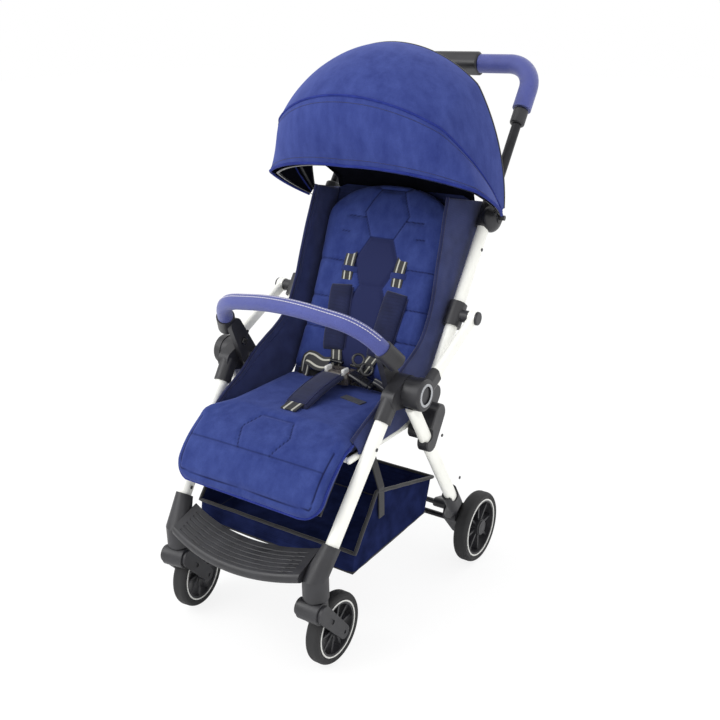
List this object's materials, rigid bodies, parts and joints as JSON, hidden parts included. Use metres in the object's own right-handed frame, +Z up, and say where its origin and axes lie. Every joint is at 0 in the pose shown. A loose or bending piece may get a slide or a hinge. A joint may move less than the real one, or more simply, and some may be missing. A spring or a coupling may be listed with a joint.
{
  "type": "folding baby stroller",
  "caption": "Compact folding baby stroller with a quilted reclining seat, hood, bumper bar, under-seat basket and swivel casters.",
  "frame": {"origin": "middle of the bounding box on the floor", "axes": "+Z up, -Y the way the child faces, +X the child's left"},
  "size_m": [0.4864, 0.833, 1.0419],
  "materials": {
    "white_paint": "satin warm-white powder coat",
    "black_plastic": "fine-grained moulded nylon",
    "black_paint": "satin black anodised tube",
    "tyre_rubber": "matt solid rubber",
    "periwinkle_leather": "grained leatherette",
    "pin_steel": "zinc-plated pin",
    "royal_fabric": "brushed suede-like polyester",
    "navy_fabric": "plain-woven polyester",
    "black_webbing": "ribbed webbing",
    "seat_board": "smooth board",
    "button_plastic": "smooth moulded button"
  },
  "bodies": {
    "front_frame": {"front_leg_left": "white_paint", "front_leg_right": "white_paint", "hub_housings": "black_plastic", "hub_covers": "black_plastic", "side_links": "white_paint", "hub_pins": "pin_steel", "footrest": "black_plastic", "caster_sockets": "black_plastic", "seat_frame": "white_paint", "seat_board": "seat_board", "seat_pad": "royal_fabric", "side_walls": "navy_fabric", "basket": "navy_fabric", "basket_straps": "black_webbing", "lap_harness": "navy_fabric", "harness_buckle": "black_plastic"},
    "buckle_button": {"buckle_button": "button_plastic"},
    "rear_frame": {"rear_leg_left": "white_paint", "rear_leg_right": "white_paint", "rear_leg_heads": "black_plastic", "upright_brackets": "black_plastic", "rear_housings": "black_plastic", "rear_axle": "black_paint"},
    "brake": {"brake_pedal": "black_plastic"},
    "upright": {"upright_tube_left": "white_paint", "upright_tube_right": "white_paint", "upright_feet": "black_plastic", "canopy_joints": "black_plastic"},
    "runner": {"runners": "black_plastic"},
    "handle": {"handle_tube": "black_paint", "handle_collars": "black_plastic", "handle_grip_left": "periwinkle_leather", "handle_grip_right": "periwinkle_leather", "handle_housing": "black_plastic"},
    "fold_button": {"fold_button": "button_plastic"},
    "canopy_mid": {"canopy_seam_bow": "black_paint", "canopy_panel": "royal_fabric"},
    "canopy_front": {"canopy_front_bow": "black_paint", "canopy_visor": "royal_fabric"},
    "backrest": {"backrest_board": "seat_board", "backrest_pad": "royal_fabric", "shoulder_harness": "navy_fabric"},
    "leg_rest": {"leg_rest_board": "seat_board", "leg_rest_pad": "royal_fabric"},
    "bumper": {"bumper_grip": "periwinkle_leather", "bumper_lugs": "black_plastic"},
    "bumper_button_left": {"bumper_button_left": "button_plastic"},
    "rear_wheel_left": {"rear_tyre_left": "tyre_rubber", "rear_rim_left": "black_plastic"},
    "caster_left": {"caster_head_left": "black_plastic"},
    "swing_arm_left": {"swing_arm_left": "black_plastic"},
    "front_wheel_left": {"front_tyre_left": "tyre_rubber", "front_rim_left": "black_plastic"},
    "bumper_button_right": {"bumper_button_right": "button_plastic"},
    "rear_wheel_right": {"rear_tyre_right": "tyre_rubber", "rear_rim_right": "black_plastic"},
    "caster_right": {"caster_head_right": "black_plastic"},
    "swing_arm_right": {"swing_arm_right": "black_plastic"},
    "front_wheel_right": {"front_tyre_right": "tyre_rubber", "front_rim_right": "black_plastic"}
  },
  "joints": [
    {"name": "rear_fold", "type": "hinge", "parent": "front_frame", "child": "rear_frame", "pos_m": [0, -0.12511, 0.46306], "axis": [-1, 0, 0], "range_deg": [0, 45]},
    {"name": "upright_fold", "type": "hinge", "parent": "rear_frame", "child": "upright", "pos_m": [0, -0.07214, 0.36406], "axis": [1, 0, 0], "range_deg": [0, 36]},
    {"name": "runner_turn", "type": "hinge", "parent": "front_frame", "child": "runner", "pos_m": [0, 0.06647, 0.55206], "axis": [-1, 0, 0], "range_deg": [0, 14]},
    {"name": "handle_slide", "type": "slide", "parent": "upright", "child": "handle", "axis": [0, -0.5934, -0.8049], "range_m": [0, 0.16]},
    {"name": "fold_button_press", "type": "slide", "parent": "handle", "child": "fold_button", "axis": [0, -0.5934, -0.8049], "range_m": [0, 0.004], "stiffness_N_per_m": 900, "springref_m": -0.002},
    {"name": "canopy_turn", "type": "hinge", "parent": "upright", "child": "canopy_mid", "pos_m": [0, 0.19033, 0.72006], "axis": [-1, 0, 0], "range_deg": [0, 30], "deforming": ["canopy_panel"]},
    {"name": "visor_turn", "type": "hinge", "parent": "canopy_mid", "child": "canopy_front", "pos_m": [0, 0.19033, 0.72006], "axis": [-1, 0, 0], "range_deg": [0, 14], "deforming": ["canopy_visor"]},
    {"name": "backrest_recline", "type": "hinge", "parent": "front_frame", "child": "backrest", "pos_m": [0, -0.00516, 0.36512], "axis": [1, 0, 0], "range_deg": [-40, 0], "deforming": ["side_walls"]},
    {"name": "leg_rest_raise", "type": "hinge", "parent": "front_frame", "child": "leg_rest", "pos_m": [0, -0.261, 0.37406], "axis": [-1, 0, 0], "range_deg": [0, 45]},
    {"name": "bumper_swing", "type": "hinge", "parent": "front_frame", "child": "bumper", "pos_m": [0, -0.12511, 0.46306], "axis": [1, 0, 0], "range_deg": [-30, 25]},
    {"name": "buckle_press", "type": "slide", "parent": "front_frame", "child": "buckle_button", "axis": [0, -0.0349, -0.9994], "range_m": [0, 0.003], "stiffness_N_per_m": 700, "springref_m": -0.002},
    {"name": "brake_press", "type": "hinge", "parent": "rear_frame", "child": "brake", "pos_m": [0, 0.10053, 0.11348], "axis": [-1, 0, 0], "range_deg": [0, 22]},
    {"name": "bumper_button_left_press", "type": "slide", "parent": "bumper", "child": "bumper_button_left", "axis": [-1, 0, 0], "range_m": [0, 0.003], "stiffness_N_per_m": 700, "springref_m": -0.002},
    {"name": "rear_wheel_left_spin", "type": "hinge", "parent": "rear_frame", "child": "rear_wheel_left", "pos_m": [-0.224, 0.11489, 0.07506], "axis": [1, 0, 0], "continuous": true},
    {"name": "caster_left_swivel", "type": "hinge", "parent": "front_frame", "child": "caster_left", "pos_m": [-0.16, -0.36411, 0.15806], "axis": [0, 0, 1], "continuous": true},
    {"name": "swing_arm_left_spring", "type": "hinge", "parent": "caster_left", "child": "swing_arm_left", "pos_m": [-0.15833, -0.37599, 0.13606], "axis": [0.9903, 0.1392, 0], "range_deg": [0, 4], "stiffness_Nm_per_rad": 60, "springref_deg": -1.15},
    {"name": "front_wheel_left_spin", "type": "hinge", "parent": "swing_arm_left", "child": "front_wheel_left", "pos_m": [-0.16626, -0.31955, 0.06656], "axis": [0.9903, 0.1392, 0], "continuous": true},
    {"name": "bumper_button_right_press", "type": "slide", "parent": "bumper", "child": "bumper_button_right", "axis": [1, 0, 0], "range_m": [0, 0.003], "stiffness_N_per_m": 700, "springref_m": -0.002},
    {"name": "rear_wheel_right_spin", "type": "hinge", "parent": "rear_frame", "child": "rear_wheel_right", "pos_m": [0.224, 0.11489, 0.07506], "axis": [1, 0, 0], "continuous": true},
    {"name": "caster_right_swivel", "type": "hinge", "parent": "front_frame", "child": "caster_right", "pos_m": [0.16, -0.36411, 0.15806], "axis": [0, 0, 1], "continuous": true},
    {"name": "swing_arm_right_spring", "type": "hinge", "parent": "caster_right", "child": "swing_arm_right", "pos_m": [0.16, -0.37611, 0.13606], "axis": [1, 0, 0], "range_deg": [0, 4], "stiffness_Nm_per_rad": 60, "springref_deg": -1.15},
    {"name": "front_wheel_right_spin", "type": "hinge", "parent": "swing_arm_right", "child": "front_wheel_right", "pos_m": [0.16, -0.31911, 0.06656], "axis": [1, 0, 0], "continuous": true}
  ],
  "couplings": [
    {"joint": "upright_fold", "follows": "rear_fold", "ratio": 0.731},
    {"joint": "runner_turn", "follows": "rear_fold", "ratio": 0.269}
  ]
}
